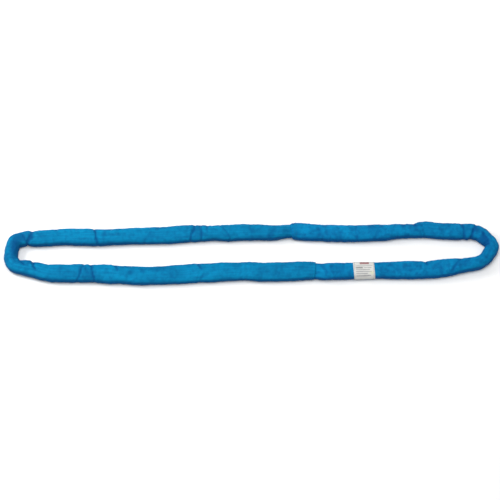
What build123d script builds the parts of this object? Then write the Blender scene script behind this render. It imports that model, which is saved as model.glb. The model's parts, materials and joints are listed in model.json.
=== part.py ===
"""Endless polyester round sling: a wound yarn core in an inner and an outer sleeve.

The sling lies flat as a long narrow loop. +X runs along the loop, +Y towards its back
leg, +Z up; the origin is under the middle of the loop, on the surface it lies on. The
two eyes fold up from the middle about hinge lines across the loop, so every sleeve and
every strand is cut there. Millimetres.
"""

import os
from math import sqrt, tan, radians

from build123d import *

# ---- Loop, as it lies ----
loop_length = 1830.0  # over both eyes
leg_spacing = 164.0  # between the centres of the two legs
fold_reach = 482.0  # from the middle of the loop to either fold line
fold_gap = 0.4  # between the cut ends at a fold line
eye_corner_radius = 44.0  # centre line, at the left eye's two corners
arc_share = 0.45  # of the shorter run, taken by a gentle bend's tangent

# ---- Outer sleeve ----
sleeve_width = 70.0
sleeve_thickness = 34.0
sleeve_wall = 1.6
side_flat = 0.6  # upright stretch between a section's two rounded corners

# ---- Joints between the two lengths of outer sleeve ----
back_joint_x = 158.0
front_joint_x = 230.0
joint_gap = 0.4  # between the mouth of one length and the shoulder of the other
tuck_length = 60.0  # how far one length reaches into the other
tuck_wall = 0.9

# ---- Inner sleeve and core ----
layer_clearance = 0.3  # between nested layers of fabric
liner_wall = 1.0
core_clearance = 0.7  # between the strands and the inner sleeve
strand_gap = 0.4
strand_rows = 3

# ---- Yarn end tape ----
tape_length = 60.0
tape_wall = 0.35
tape_clearance = 0.1  # between the tape and the strands it holds

# ---- Label ----
label_x = 412.0
label_length = 80.0
label_wall = 0.8
label_clearance = 0.2
label_hem_height = 7.0  # the label's lower edges stop this far above the ground

# ---- Stitches ----
stitch_length = 4.0
stitch_width = 1.2
stitch_height = 0.8
stitch_pitch = 7.0
stitch_sink = 0.1  # clearance under a stitch
joint_stitch_inset = 12.0  # from a sleeve's mouth to its first row
joint_row_spacing = 8.0
label_stitch_inset = 4.0  # from the label's ends to its rows
liner_joint_x = -120.0
ground_clearance = 1.5  # under the lowest stitch of a joint

# ---- Worked-out sizes ----
half_length = loop_length / 2
half_spacing = leg_spacing / 2
mid_height = sleeve_thickness / 2
end_run_x = half_length - sleeve_width / 2  # centre line of the outermost run
tuck_width = sleeve_width - 2 * (sleeve_wall + layer_clearance)
tuck_thickness = sleeve_thickness - 2 * (sleeve_wall + layer_clearance)
layer_step = sleeve_wall + tuck_wall + 2 * layer_clearance
liner_width = sleeve_width - 2 * layer_step
liner_thickness = sleeve_thickness - 2 * layer_step
bore_width = liner_width - 2 * liner_wall
bore_thickness = liner_thickness - 2 * liner_wall
strand_diameter = (bore_thickness - 2 * core_clearance - (strand_rows - 1) * strand_gap) / strand_rows
strand_pitch = strand_diameter + strand_gap
label_width = sleeve_width + 2 * (label_clearance + label_wall)
label_thickness = sleeve_thickness + 2 * (label_clearance + label_wall)


def corner_radius(thickness):
    """Corner radius of a flattened section of this thickness."""
    return (thickness - side_flat) / 2


def gentle_radii(points):
    """One radius per inner point: its arc takes up arc_share of the shorter run beside it."""
    radii = []
    for before, here, after in zip(points, points[1:], points[2:]):
        run_in = Vector(*here) - Vector(*before)
        run_out = Vector(*after) - Vector(*here)
        half_turn = run_in.get_angle(run_out) / 2
        radii.append(arc_share * min(run_in.length, run_out.length) / tan(radians(half_turn)))
    return radii


def cross_plane(route, share):
    """The plane across a route at a share of its length: x to the left of travel, y up."""
    along = route % share
    return Plane(origin=route @ share, x_dir=(-along.Y, along.X, 0), z_dir=along)


def hollow_section(width, thickness, wall):
    """The ring of fabric of one sleeve, drawn in the sketch that is open."""
    RectangleRounded(width, thickness, corner_radius(thickness))
    inner_thickness = thickness - 2 * wall
    RectangleRounded(
        width - 2 * wall, inner_thickness, corner_radius(inner_thickness), mode=Mode.SUBTRACT
    )


def strand_places():
    """Centres of the strands across the bore of the inner sleeve, row by row."""
    bore_corner = corner_radius(bore_thickness)
    flat_half = bore_width / 2 - bore_corner
    reach = bore_corner - strand_diameter / 2 - core_clearance / 2
    places = []
    for row in range(strand_rows):
        height = (row - (strand_rows - 1) / 2) * strand_pitch
        half_row = flat_half + sqrt(max(reach**2 - height**2, 0))
        count = 1 + 2 * int(half_row / strand_pitch)
        places += [((i - (count - 1) / 2) * strand_pitch, height) for i in range(count)]
    return places


def share_at(route, x):
    """The share along a leg's route where it passes x."""
    low, high = 0.0, 1.0
    while high - low > 1e-7:
        middle = (low + high) / 2
        if (route @ middle).X < x:
            low = middle
        else:
            high = middle
    return low


def between(low_x, high_x):
    """Keep the stretch of the open part between two upright planes across the loop."""
    split(bisect_by=Plane.YZ.offset(low_x), keep=Keep.TOP)
    split(bisect_by=Plane.YZ.offset(high_x), keep=Keep.BOTTOM)


def joint_tuck(route, mouth_x, reach):
    """The narrowed end of one sleeve length, tucked into the mouth of the other.

    mouth_x is the other length's mouth, and reach how far the tuck goes into it, along
    +X if positive. A shoulder closes the step down from the full section.
    """
    side = 1 if reach > 0 else -1
    shoulder_face = mouth_x - side * joint_gap
    shoulder_back = shoulder_face - side * sleeve_wall
    with BuildPart() as tuck:
        with BuildSketch(cross_plane(route, 0)):
            hollow_section(tuck_width, tuck_thickness, tuck_wall)
        sweep(path=route)
        between(*sorted((shoulder_back, mouth_x + reach)))
    with BuildPart() as shoulder:
        with BuildSketch(cross_plane(route, 0)):
            hollow_section(
                sleeve_width, sleeve_thickness, sleeve_wall + layer_clearance + tuck_wall
            )
        sweep(path=route)
        between(*sorted((shoulder_back, shoulder_face)))
        add(tuck.part)
    return shoulder.part


def stitch_row(route, share, width, thickness, low_limit):
    """Places of one row of stitches on a section's skin, above low_limit."""
    plane = cross_plane(route, share)
    skin_offset = stitch_sink + stitch_height / 2
    with BuildSketch(plane, mode=Mode.PRIVATE) as ring:
        RectangleRounded(
            width + 2 * skin_offset,
            thickness + 2 * skin_offset,
            corner_radius(thickness) + skin_offset,
        )
    rim = ring.sketch.face().outer_wire()
    count = int(rim.length / stitch_pitch)
    places = []
    for i in range(count):
        centre = rim @ (i / count)
        tangent = rim % (i / count)
        if centre.Z - stitch_height / 2 >= low_limit:
            places.append(Plane(origin=centre, x_dir=tangent, z_dir=tangent.cross(plane.z_dir)))
    return places


# ---- Centre line ----
# The legs wander a little; they cross both fold lines straight along X.
back_left_y = half_spacing - 13
back_right_y = half_spacing + 5
front_left_y = -half_spacing - 11
front_right_y = -half_spacing + 6

right_tip_y = 24.0


def out(share):
    """How far out along the loop: 0 at a fold line, 1 on the outermost run."""
    return fold_reach + share * (end_run_x - fold_reach)


def inward(share):
    """How far along a leg: 0 at the middle of the loop, 1 at a fold line."""
    return share * fold_reach


left_eye_points = [
    (-fold_reach - fold_gap / 2, back_left_y),
    (-out(0.31), back_left_y),
    (-out(0.65), back_left_y - 3),
    (-out(1), back_left_y - 11),
    (-out(1), front_left_y + 39),
    (-out(0.78), front_left_y + 17),
    (-out(0.52), front_left_y + 6),
    (-out(0.23), front_left_y),
    (-fold_reach - fold_gap / 2, front_left_y),
]
right_eye_points = [
    (fold_reach + fold_gap / 2, back_right_y),
    (out(0.15), back_right_y),
    (out(0.36), back_right_y + 11),
    (out(0.66), back_right_y + 4),
    (out(1) - 50, back_right_y + 3),
    (out(1) + 9.5, right_tip_y),
    (out(1) - 20, front_right_y + 39),
    (out(0.74), front_right_y + 19),
    (out(0.50), front_right_y + 9),
    (out(0.22), front_right_y),
    (fold_reach + fold_gap / 2, front_right_y),
]
back_leg_points = [
    (-fold_reach + fold_gap / 2, back_left_y),
    (inward(-0.82), back_left_y),
    (inward(-0.40), back_left_y + 14),
    (inward(0.03), back_left_y + 19),
    (inward(0.34), back_right_y + 8),
    (inward(0.66), back_right_y - 1),
    (inward(0.84), back_right_y),
    (fold_reach - fold_gap / 2, back_right_y),
]
front_leg_points = [
    (-fold_reach + fold_gap / 2, front_left_y),
    (inward(-0.85), front_left_y),
    (inward(-0.66), front_left_y - 4),
    (inward(-0.34), front_left_y + 7),
    (inward(-0.03), front_right_y - 2.5),
    (inward(0.23), front_right_y - 4),
    (inward(0.45), front_right_y + 2),
    (inward(0.66), front_right_y),
    (fold_reach - fold_gap / 2, front_right_y),
]

left_eye_radii = gentle_radii(left_eye_points)
left_eye_radii[2:4] = [eye_corner_radius, eye_corner_radius]

with BuildLine(Plane.XY.offset(mid_height)) as left_eye_line:
    FilletPolyline(*left_eye_points, radius=left_eye_radii)
with BuildLine(Plane.XY.offset(mid_height)) as right_eye_line:
    FilletPolyline(*right_eye_points, radius=gentle_radii(right_eye_points))
with BuildLine(Plane.XY.offset(mid_height)) as back_leg_line:
    FilletPolyline(*back_leg_points, radius=gentle_radii(back_leg_points))
with BuildLine(Plane.XY.offset(mid_height)) as front_leg_line:
    FilletPolyline(*front_leg_points, radius=gentle_radii(front_leg_points))

left_eye = left_eye_line.wire()
right_eye = right_eye_line.wire()
back_leg = back_leg_line.wire()
front_leg = front_leg_line.wire()
print(f"eyes {left_eye.length:.1f} and {right_eye.length:.1f} mm along their centre lines")
print(f"legs {back_leg.length:.1f} and {front_leg.length:.1f} mm along theirs")
os.makedirs("parts", exist_ok=True)


def write(builder, name):
    """Label a finished piece and write its file."""
    builder.part.label = name
    export_step(builder.part, f"parts/{name}.step")


# ---- Outer sleeve, left length ----
with BuildPart() as sleeve_left_eye:
    with BuildSketch(cross_plane(left_eye, 0)):
        hollow_section(sleeve_width, sleeve_thickness, sleeve_wall)
    sweep(path=left_eye)
write(sleeve_left_eye, "sleeve_left_eye")

with BuildPart() as sleeve_left_back:
    with BuildSketch(cross_plane(back_leg, 0)):
        hollow_section(sleeve_width, sleeve_thickness, sleeve_wall)
    sweep(path=back_leg)
    between(-fold_reach, back_joint_x - joint_gap)
    add(joint_tuck(back_leg, back_joint_x, tuck_length))
write(sleeve_left_back, "sleeve_left_back")

with BuildPart() as sleeve_left_front:
    with BuildSketch(cross_plane(front_leg, 0)):
        hollow_section(sleeve_width, sleeve_thickness, sleeve_wall)
    sweep(path=front_leg)
    between(-fold_reach, front_joint_x)
write(sleeve_left_front, "sleeve_left_front")

# ---- Outer sleeve, right length ----
with BuildPart() as sleeve_right_eye:
    with BuildSketch(cross_plane(right_eye, 0)):
        hollow_section(sleeve_width, sleeve_thickness, sleeve_wall)
    sweep(path=right_eye)
write(sleeve_right_eye, "sleeve_right_eye")

with BuildPart() as sleeve_right_back:
    with BuildSketch(cross_plane(back_leg, 0)):
        hollow_section(sleeve_width, sleeve_thickness, sleeve_wall)
    sweep(path=back_leg)
    between(back_joint_x, fold_reach)
write(sleeve_right_back, "sleeve_right_back")

with BuildPart() as sleeve_right_front:
    with BuildSketch(cross_plane(front_leg, 0)):
        hollow_section(sleeve_width, sleeve_thickness, sleeve_wall)
    sweep(path=front_leg)
    between(front_joint_x + joint_gap, fold_reach)
    add(joint_tuck(front_leg, front_joint_x, -tuck_length))
write(sleeve_right_front, "sleeve_right_front")

# ---- Inner sleeve and yarn core, one stretch on each body and leg ----
stretches = {
    "left_eye": left_eye,
    "back": back_leg,
    "front": front_leg,
    "right_eye": right_eye,
}
for stretch_name, route in stretches.items():
    with BuildPart() as liner:
        with BuildSketch(cross_plane(route, 0)):
            hollow_section(liner_width, liner_thickness, liner_wall)
        sweep(path=route)
    write(liner, f"liner_{stretch_name}")

    with BuildPart() as core:
        with BuildSketch(cross_plane(route, 0)):
            with Locations(*strand_places()):
                Circle(strand_diameter / 2)
        sweep(path=route)
    write(core, f"core_{stretch_name}")

# ---- Tape over the yarn's two ends, under the label ----
strand_rise = (strand_rows - 1) * strand_pitch + strand_diameter
widest_row = max(x for x, _ in strand_places())
tape_width = 2 * widest_row + strand_diameter + 2 * (tape_clearance + tape_wall)
tape_thickness = strand_rise + 2 * (tape_clearance + tape_wall)
with BuildPart() as yarn_end_tape:
    with BuildSketch(cross_plane(front_leg, 0)):
        hollow_section(tape_width, tape_thickness, tape_wall)
    sweep(path=front_leg)
    between(label_x - tape_length / 2, label_x + tape_length / 2)
write(yarn_end_tape, "yarn_end_tape")

# ---- Label, wrapped over the front leg down to both of its hems ----
with BuildPart() as label:
    with BuildSketch(cross_plane(front_leg, 0)):
        hollow_section(label_width, label_thickness, label_wall)
    sweep(path=front_leg)
    between(label_x - label_length / 2, label_x + label_length / 2)
    split(bisect_by=Plane.XY.offset(label_hem_height), keep=Keep.TOP)
write(label, "label")


# ---- Stitches ----
def rows_of_stitches(route, stations, width, thickness, low_limit):
    """The places of the stitches of several rows across a route."""
    places = []
    for x in stations:
        places += stitch_row(route, share_at(route, x), width, thickness, low_limit)
    return places


back_rows = [
    back_joint_x + joint_stitch_inset,
    back_joint_x + joint_stitch_inset + joint_row_spacing,
]
with BuildPart() as joint_stitches_back:
    with Locations(
        *rows_of_stitches(back_leg, back_rows, sleeve_width, sleeve_thickness, ground_clearance)
    ):
        Box(stitch_length, stitch_width, stitch_height)
write(joint_stitches_back, "joint_stitches_back")

front_rows = [
    front_joint_x - joint_stitch_inset,
    front_joint_x - joint_stitch_inset - joint_row_spacing,
]
with BuildPart() as joint_stitches_front:
    with Locations(
        *rows_of_stitches(front_leg, front_rows, sleeve_width, sleeve_thickness, ground_clearance)
    ):
        Box(stitch_length, stitch_width, stitch_height)
write(joint_stitches_front, "joint_stitches_front")

label_row_reach = label_length / 2 - label_stitch_inset
label_rows = [label_x - label_row_reach, label_x + label_row_reach]
with BuildPart() as label_stitches:
    with Locations(
        *rows_of_stitches(front_leg, label_rows, label_width, label_thickness, label_hem_height)
    ):
        Box(stitch_length, stitch_width, stitch_height)
write(label_stitches, "label_stitches")

with BuildPart() as liner_stitches:
    with Locations(
        *rows_of_stitches(back_leg, [liner_joint_x], liner_width, liner_thickness, 0)
    ):
        Box(stitch_length, stitch_width, stitch_height)
write(liner_stitches, "liner_stitches")
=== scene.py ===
"""Looks of an endless polyester round sling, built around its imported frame.

The sling lies flat as a long narrow loop. Two lengths of blue outer sleeve meet at a
joint on each leg, where the end of one is tucked into the mouth of the other. Inside
run a pale inner sleeve and the wound yarn core. Everything is in metres, in the frame
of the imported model: +X along the loop, +Y towards the back leg, +Z up.
"""

import json
import logging
import math
from dataclasses import dataclass, field
from enum import Enum
from typing import Sequence

import bpy
import numpy as np
from bpy.types import Material, Mesh, Node, NodeSocket, Object
from mathutils import Matrix, Vector, noise


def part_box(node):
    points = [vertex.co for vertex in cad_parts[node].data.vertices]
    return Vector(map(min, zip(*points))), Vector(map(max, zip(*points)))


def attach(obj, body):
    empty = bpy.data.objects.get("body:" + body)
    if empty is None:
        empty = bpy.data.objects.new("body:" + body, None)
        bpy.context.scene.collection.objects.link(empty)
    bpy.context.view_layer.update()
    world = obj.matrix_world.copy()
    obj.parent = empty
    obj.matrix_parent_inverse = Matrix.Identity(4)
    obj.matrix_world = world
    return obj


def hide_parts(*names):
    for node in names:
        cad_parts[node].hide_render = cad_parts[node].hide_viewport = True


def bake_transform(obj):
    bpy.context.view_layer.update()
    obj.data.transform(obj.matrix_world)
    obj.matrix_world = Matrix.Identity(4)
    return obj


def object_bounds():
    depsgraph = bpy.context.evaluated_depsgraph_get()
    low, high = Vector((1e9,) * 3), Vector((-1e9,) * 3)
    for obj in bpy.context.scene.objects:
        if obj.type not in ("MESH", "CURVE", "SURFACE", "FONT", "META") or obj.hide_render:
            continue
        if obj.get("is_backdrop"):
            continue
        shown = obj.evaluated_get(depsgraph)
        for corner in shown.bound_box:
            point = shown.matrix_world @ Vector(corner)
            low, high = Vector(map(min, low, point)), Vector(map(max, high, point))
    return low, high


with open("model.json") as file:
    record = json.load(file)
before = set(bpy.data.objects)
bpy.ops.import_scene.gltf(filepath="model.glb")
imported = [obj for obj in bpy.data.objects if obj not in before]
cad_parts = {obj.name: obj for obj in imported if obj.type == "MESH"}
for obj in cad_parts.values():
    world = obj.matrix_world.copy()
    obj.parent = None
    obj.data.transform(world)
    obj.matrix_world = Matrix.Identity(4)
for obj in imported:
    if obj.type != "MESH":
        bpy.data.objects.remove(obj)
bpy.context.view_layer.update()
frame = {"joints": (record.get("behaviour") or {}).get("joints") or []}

logging.basicConfig(level=logging.INFO, format="%(message)s")
LOG = logging.getLogger("round_sling")

DRAWN_HALF_LENGTH = 0.915  # half length of the loop that the stations are drawn for
LEG_DIVIDE_Y = 0.012  # between the front leg and the back leg
FLOOR_GAP = 0.0004  # no outer sleeve lies lower than this
FULL_SHADE_DEPTH = 0.0026  # a crease this deep gets the darkest painted shade
SETTLE_FRAMES = 26  # length of each cloth simulation


class Body(Enum):
    """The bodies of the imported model."""

    MIDDLE = "middle"
    LEFT_EYE = "left_eye"
    RIGHT_EYE = "right_eye"


class Slot(Enum):
    """Material slots of the record."""

    OUTER_SLEEVE = "outer_sleeve"
    INNER_SLEEVE = "inner_sleeve"
    CORE_YARN = "core_yarn"
    TAPE = "tape"
    LABEL = "label"
    SLEEVE_THREAD = "sleeve_thread"
    LABEL_THREAD = "label_thread"
    LINER_THREAD = "liner_thread"


# ---- frame values


@dataclass(frozen=True)
class Lie:
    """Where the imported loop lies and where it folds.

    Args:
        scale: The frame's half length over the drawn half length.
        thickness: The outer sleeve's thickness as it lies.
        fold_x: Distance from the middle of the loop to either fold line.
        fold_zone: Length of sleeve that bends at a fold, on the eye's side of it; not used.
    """

    scale: float
    thickness: float
    fold_x: float
    fold_zone: float = 0.070

    @classmethod
    def from_frame(cls) -> "Lie":
        """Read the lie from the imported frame.

        Returns:
            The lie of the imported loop.
        """
        low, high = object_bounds()
        sleeve_low, sleeve_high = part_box("sleeve_left_eye")
        fold = next(j for j in frame["joints"] if j["name"] == "right_eye_fold")
        return cls(
            scale=(high[0] - low[0]) / 2 / DRAWN_HALF_LENGTH,
            thickness=sleeve_high.z - sleeve_low.z,
            fold_x=fold["pos_m"][0],
        )


# ---- bpy helpers


def deselect_all() -> None:
    """Leave object mode with nothing selected."""
    if bpy.context.object and bpy.context.object.mode != "OBJECT":
        bpy.ops.object.mode_set(mode="OBJECT")
    bpy.ops.object.select_all(action="DESELECT")


def pick(obj: Object) -> None:
    """Make an object the only selected one, and the active one.

    Args:
        obj: The object.
    """
    deselect_all()
    obj.select_set(True)
    bpy.context.view_layer.objects.active = obj


def apply_modifiers(obj: Object) -> None:
    """Apply every modifier of obj, in order."""
    pick(obj)
    for modifier in list(obj.modifiers):
        bpy.ops.object.modifier_apply(modifier=modifier.name)


def apply_place(obj: Object) -> None:
    """Put obj's place, turn and scale into its mesh."""
    pick(obj)
    bpy.ops.object.transform_apply(location=True, rotation=True, scale=True)


def join(name: str, parts: Sequence[Object]) -> Object:
    """Join objects into one.

    Args:
        name: Name of the joined object.
        parts: The objects to join, which are used up.

    Returns:
        The joined object.
    """
    deselect_all()
    for part in parts:
        part.select_set(True)
    bpy.context.view_layer.objects.active = parts[0]
    bpy.ops.object.join()
    joined = bpy.context.object
    joined.name = joined.data.name = name
    return joined


def mesh_object(name: str, points: np.ndarray, faces: Sequence[Sequence[int]]) -> Object:
    """Make a smooth-shaded mesh object from points and faces.

    Args:
        name: Name of the object and its mesh.
        points: One row of three coordinates per vertex.
        faces: Vertex numbers of each face, anticlockwise from outside.

    Returns:
        The new object, linked to the scene.
    """
    mesh = bpy.data.meshes.new(name)
    mesh.from_pydata([tuple(p) for p in points], [], [tuple(f) for f in faces])
    mesh.update()
    obj = bpy.data.objects.new(name, mesh)
    bpy.context.scene.collection.objects.link(obj)
    mesh.shade_smooth()
    return obj


def points_of(mesh: Mesh) -> np.ndarray:
    """Read a mesh's vertex coordinates.

    Args:
        mesh: The mesh.

    Returns:
        One row per vertex.
    """
    flat = np.zeros(len(mesh.vertices) * 3)
    mesh.vertices.foreach_get("co", flat)
    return flat.reshape(-1, 3)


def put_points(mesh: Mesh, points: np.ndarray) -> None:
    """Write vertex coordinates back into the mesh."""
    mesh.vertices.foreach_set("co", points.ravel())
    mesh.update()


def add_wall(obj: Object, thickness: float, offset: float = -1.0) -> None:
    """Thicken a skin.

    Args:
        obj: The skin.
        thickness: Its new thickness.
        offset: -1 to thicken it inwards, 1 outwards.
    """
    solidify = obj.modifiers.new("Wall", "SOLIDIFY")
    solidify.thickness = thickness
    solidify.offset = offset


def lay_cloth_map(obj: Object, places: Sequence[tuple[float, float]]) -> None:
    """Store each face corner's place along and round the cloth, in metres, as a UV map."""
    layer = obj.data.uv_layers.new(name="cloth")
    layer.data.foreach_set("uv", np.array(places).ravel())


def dress(obj: Object, material: Material) -> None:
    """Shade an object smooth and give it one material.

    Args:
        obj: The object.
        material: Its only material.
    """
    obj.data.shade_smooth()
    obj.data.materials.clear()
    obj.data.materials.append(material)


def report(piece: Object) -> None:
    """Log a finished piece."""
    LOG.info("%s: %d faces", piece.name, len(piece.data.polygons))


def unit(vectors: np.ndarray) -> np.ndarray:
    """The vectors along the last axis, each brought to a length of 1."""
    return vectors / np.linalg.norm(vectors, axis=-1, keepdims=True)


def walk(points: np.ndarray) -> np.ndarray:
    """Distance along a line of points, up to each of them."""
    step = np.linalg.norm(np.diff(points, axis=0), axis=1)
    return np.concatenate([[0.0], np.cumsum(step)])


# ---- node helper


class Board:
    """A material's node tree, with short ways to add and wire nodes."""

    def __init__(self, name: str) -> None:
        """Start a material with its shader wired to the output.

        Args:
            name: Name of the material.
        """
        self.material = bpy.data.materials.new(name)
        self.material.use_nodes = True
        self.tree = self.material.node_tree
        self.tree.nodes.clear()
        self.output = self.add("ShaderNodeOutputMaterial")
        self.shader = self.add("ShaderNodeBsdfPrincipled")
        self.wire(self.shader.outputs["BSDF"], self.output.inputs["Surface"])

    def add(self, kind: str, **settings: object) -> Node:
        """Add a node of a kind with its properties set.

        Args:
            kind: The node's type name.
            settings: Property values of the node.

        Returns:
            The new node.
        """
        node = self.tree.nodes.new(kind)
        for key, value in settings.items():
            setattr(node, key, value)
        return node

    def wire(self, source: NodeSocket, target: NodeSocket) -> None:
        """Link one socket to another."""
        self.tree.links.new(source, target)

    def feed(self, socket: NodeSocket, value: object) -> None:
        """Give a socket its value.

        Args:
            socket: The socket.
            value: A number or a colour to set, or a socket to link.
        """
        if isinstance(value, NodeSocket):
            self.wire(value, socket)
        elif isinstance(value, (int, float)):
            socket.default_value = value
        else:
            socket.default_value = (*value, 1.0)

    def maths(self, operation: str, *values: object) -> NodeSocket:
        """Add a Math node.

        Args:
            operation: The node's operation.
            values: A number or a socket for each input, in order.

        Returns:
            The node's value.
        """
        node = self.add("ShaderNodeMath", operation=operation)
        for socket, value in zip(node.inputs, values):
            self.feed(socket, value)
        return node.outputs["Value"]

    def times(self, first: object, second: object) -> NodeSocket:
        """The product of two numbers or sockets."""
        return self.maths("MULTIPLY", first, second)

    def ramp(self, value: NodeSocket, stops: Sequence[tuple[float, Sequence[float]]]) -> NodeSocket:
        """Colour a value by a ramp.

        Args:
            value: What to colour, from 0 to 1.
            stops: Place and colour of each stop.

        Returns:
            The ramp's colour.
        """
        node = self.add("ShaderNodeValToRGB")
        elements = node.color_ramp.elements
        while len(elements) < len(stops):
            elements.new(0.5)
        for element, (place, colour) in zip(elements, stops):
            element.position = place
            element.color = (*colour, 1.0)
        self.wire(value, node.inputs["Fac"])
        return node.outputs["Color"]

    def mix(self, factor: object, first: object, second: object, blend: str = "MIX") -> NodeSocket:
        """Mix two colours.

        Args:
            factor: Share of the second, a number or a socket.
            first: A colour or a socket.
            second: A colour or a socket.
            blend: The way of mixing.

        Returns:
            The mixed colour.
        """
        node = self.add("ShaderNodeMix", data_type="RGBA", blend_type=blend)
        for index, value in ((0, factor), (6, first), (7, second)):
            self.feed(node.inputs[index], value)
        return node.outputs[2]

    def noise(self, vector: NodeSocket, scale: float, detail: float = 3.0) -> NodeSocket:
        """Noise over a vector.

        Args:
            vector: Where to read the noise.
            scale: Its cells per unit.
            detail: Its octaves.

        Returns:
            The noise, from 0 to 1.
        """
        node = self.add("ShaderNodeTexNoise")
        node.inputs["Scale"].default_value = scale
        node.inputs["Detail"].default_value = detail
        self.wire(vector, node.inputs["Vector"])
        return node.outputs["Fac"]

    def place(self) -> NodeSocket:
        """Object coordinates."""
        return self.add("ShaderNodeTexCoord").outputs["Object"]

    def cloth_axes(self) -> tuple[NodeSocket, NodeSocket]:
        """The piece's own UV map, in metres.

        Returns:
            Distance along the piece, and distance round it.
        """
        uv = self.add("ShaderNodeUVMap", uv_map="cloth")
        parts = self.add("ShaderNodeSeparateXYZ")
        self.wire(uv.outputs["UV"], parts.inputs["Vector"])
        return parts.outputs["X"], parts.outputs["Y"]

    def bump(
        self,
        height: NodeSocket,
        distance: float,
        strength: float = 1.0,
        under: NodeSocket | None = None,
    ) -> NodeSocket:
        """Turn a height into a normal.

        Args:
            height: The height, from 0 to 1.
            distance: The height's size in metres.
            strength: How much of it shows.
            under: The normal that this one lies on.

        Returns:
            The bumped normal.
        """
        node = self.add("ShaderNodeBump")
        node.inputs["Strength"].default_value = strength
        node.inputs["Distance"].default_value = distance
        self.wire(height, node.inputs["Height"])
        if under is not None:
            self.wire(under, node.inputs["Normal"])
        return node.outputs["Normal"]

    def finish(self, **sockets: object) -> Material:
        """Set the shader's sockets.

        Args:
            sockets: Socket name, with underscores for spaces, and a number, colour or socket.

        Returns:
            The finished material.
        """
        for key, value in sockets.items():
            self.feed(self.shader.inputs[key.replace("_", " ")], value)
        return self.material


# ---- finishes

BLACK = (0.0, 0.0, 0.0)
WHITE = (1.0, 1.0, 1.0)
WEAK_STREAK = (0.66, 0.76, 0.82)  # these five colours multiply a cloth's own colour
STRONG_STREAK = (1.16, 1.13, 1.10)
BLOTCH = (0.42, 0.55, 0.66)
# painted shade: darkens the low valleys of the weave
WEAVE_VALLEY_SHADE = (0.55, 0.55, 0.58)
SHADE = (0.5, 0.52, 0.70)

@dataclass(frozen=True)
class WovenTube:
    """A woven tubular sleeve: ribs along it, crossed by finer picks.

    Args:
        name: Name of the material.
        light: Colour where the cloth is bright.
        deep: Colour of its darker patches, and the base of the painted shade in its creases, along its
            flanks and at the eyes.
        rib_pitch: Distance between the ribs, round the tube.
        pick_pitch: Distance between the picks, along the tube.
        relief: Height of the weave.
        sheen: Weight of the fibres' sheen.
        mottle: Share of the deep colour in the soft patches and blotches.
        streak_share: How much the streaks along the ribs show.
    """

    name: str
    light: tuple[float, float, float]
    deep: tuple[float, float, float]
    rib_pitch: float = 0.0026
    pick_pitch: float = 0.0017
    relief: float = 0.0005
    sheen: float = 0.03
    mottle: float = 0.5
    streak_share: float = 0.7

    def weave(self, board: Board) -> NodeSocket:
        """Height of the weave, each rib's picks half a step from its neighbours'.

        Args:
            board: The material to add it to.

        Returns:
            The height, from 0 to 1.
        """
        along, around = board.cloth_axes()
        rib_place = board.maths("DIVIDE", around, self.rib_pitch)
        rib = board.maths("ABSOLUTE", board.maths("SINE", board.times(rib_place, math.pi)))
        step = board.times(board.maths("FLOOR", rib_place), 0.5)
        pick_place = board.maths("ADD", board.maths("DIVIDE", along, self.pick_pitch), step)
        wave = board.maths("SINE", board.times(pick_place, 2 * math.pi))
        pick_height = board.maths("MULTIPLY_ADD", wave, 0.25, 0.75)
        return board.times(rib, pick_height)

    def streaks(self, board: Board) -> NodeSocket:
        """Long streaks where some ribs have taken the dye better than others.

        Args:
            board: The material to add them to.

        Returns:
            The streaks, from 0 to 1.
        """
        along, around = board.cloth_axes()
        stretched = board.add("ShaderNodeCombineXYZ")
        board.wire(board.times(along, 9.0), stretched.inputs["X"])
        board.wire(board.times(around, 120.0), stretched.inputs["Y"])
        return board.noise(stretched.outputs["Vector"], 1.0, 4.0)

    def dye(self, board: Board, place: NodeSocket, patches: NodeSocket) -> NodeSocket:
        """Colour of the dye, with soft patches, streaks along the ribs and small blotches.

        Args:
            board: The material to add it to.
            place: Object coordinates.
            patches: The noise that makes the soft patches.

        Returns:
            The colour.
        """
        cloud = board.ramp(patches, [(0.35, BLACK), (0.68, WHITE)])
        colour = board.mix(board.times(cloud, self.mottle), self.light, self.deep)
        streaks = board.ramp(self.streaks(board), [(0.28, WEAK_STREAK), (0.72, STRONG_STREAK)])
        colour = board.mix(self.streak_share, colour, streaks, "MULTIPLY")
        blotches = board.ramp(board.noise(place, 52.0, 5.0), [(0.47, WHITE), (0.66, BLOTCH)])
        return board.mix(self.mottle, colour, blotches, "MULTIPLY")

    def make(self) -> Material:
        """Build the material.

        Returns:
            The sleeve's material.
        """
        board = Board(self.name)
        place = board.place()
        height = self.weave(board)
        patches = board.noise(place, 14.0, 4.0)
        colour = self.dye(board, place, patches)
        # painted shade: the colour darkens where the weave is low
        weave_valley_shade = board.ramp(height, [(0.0, WEAVE_VALLEY_SHADE), (0.55, WHITE)])
        colour = board.mix(0.5, colour, weave_valley_shade, "MULTIPLY")
        # painted shade: darkens the creases, the flanks and the patches at the eyes; the same attribute
        # also carries dark mottles along the legs
        painted_shade_and_mottle = board.add("ShaderNodeAttribute", attribute_name="painted_shade_and_mottle").outputs["Fac"]
        shade = tuple(share * channel for share, channel in zip(SHADE, self.deep))
        colour = board.mix(board.times(painted_shade_and_mottle, 0.95), colour, shade)
        soft = board.bump(board.noise(place, 55.0, 3.0), 0.0022, 0.6)
        return board.finish(
            Base_Color=colour,
            Roughness=board.maths("MULTIPLY_ADD", patches, 0.16, 0.56),
            Normal=board.bump(height, self.relief, 0.8, soft),
            Specular_IOR_Level=0.05,
            Sheen_Weight=self.sheen,
            Sheen_Roughness=0.45,
            Sheen_Tint=self.light,
        )


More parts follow.
